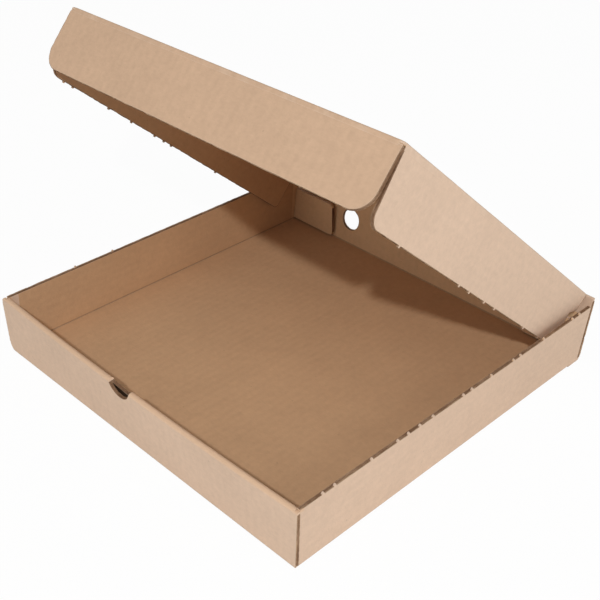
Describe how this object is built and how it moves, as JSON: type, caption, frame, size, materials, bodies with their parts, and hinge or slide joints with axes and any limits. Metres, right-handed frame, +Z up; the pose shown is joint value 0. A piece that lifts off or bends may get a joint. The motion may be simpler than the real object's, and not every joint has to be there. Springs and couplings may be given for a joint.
{
  "type": "pizza box",
  "caption": "Plain brown corrugated pizza box with rolled front wall, thumb notch, vent holes and a hinged lid with tuck flaps, ajar.",
  "frame": {"origin": "middle of the tray's underside, on the table", "axes": "+Z up, +Y to the rear wall and lid hinge, +X to the right seen from the front"},
  "size_m": [0.307, 0.3138, 0.247],
  "materials": {
    "kraft_board": "matt uncoated brown kraft liner over B-flute"
  },
  "bodies": {
    "tray": {"tray": "kraft_board"},
    "lid": {"lid": "kraft_board"},
    "lid_front_flap": {"lid_front_flap": "kraft_board"},
    "lid_left_flap": {"lid_left_flap": "kraft_board"},
    "lid_right_flap": {"lid_right_flap": "kraft_board"}
  },
  "joints": [
    {"name": "lid_hinge", "type": "hinge", "parent": "tray", "child": "lid", "pos_m": [0, 0.15724, 0.0516], "axis": [-1, 0, 0], "range_deg": [-40.5, 139.5]},
    {"name": "front_flap_fold", "type": "hinge", "parent": "lid", "child": "lid_front_flap", "pos_m": [0, -0.07016, 0.24581], "axis": [-1, 0, 0], "range_deg": [-5, 90]},
    {"name": "left_flap_fold", "type": "hinge", "parent": "lid", "child": "lid_left_flap", "pos_m": [-0.1449, 0.04394, 0.14837], "axis": [0, 0.7604, -0.6494], "range_deg": [-30, 1.5]},
    {"name": "right_flap_fold", "type": "hinge", "parent": "lid", "child": "lid_right_flap", "pos_m": [0.1449, 0.04394, 0.14837], "axis": [0, -0.7604, 0.6494], "range_deg": [-30, 1.5]}
  ]
}
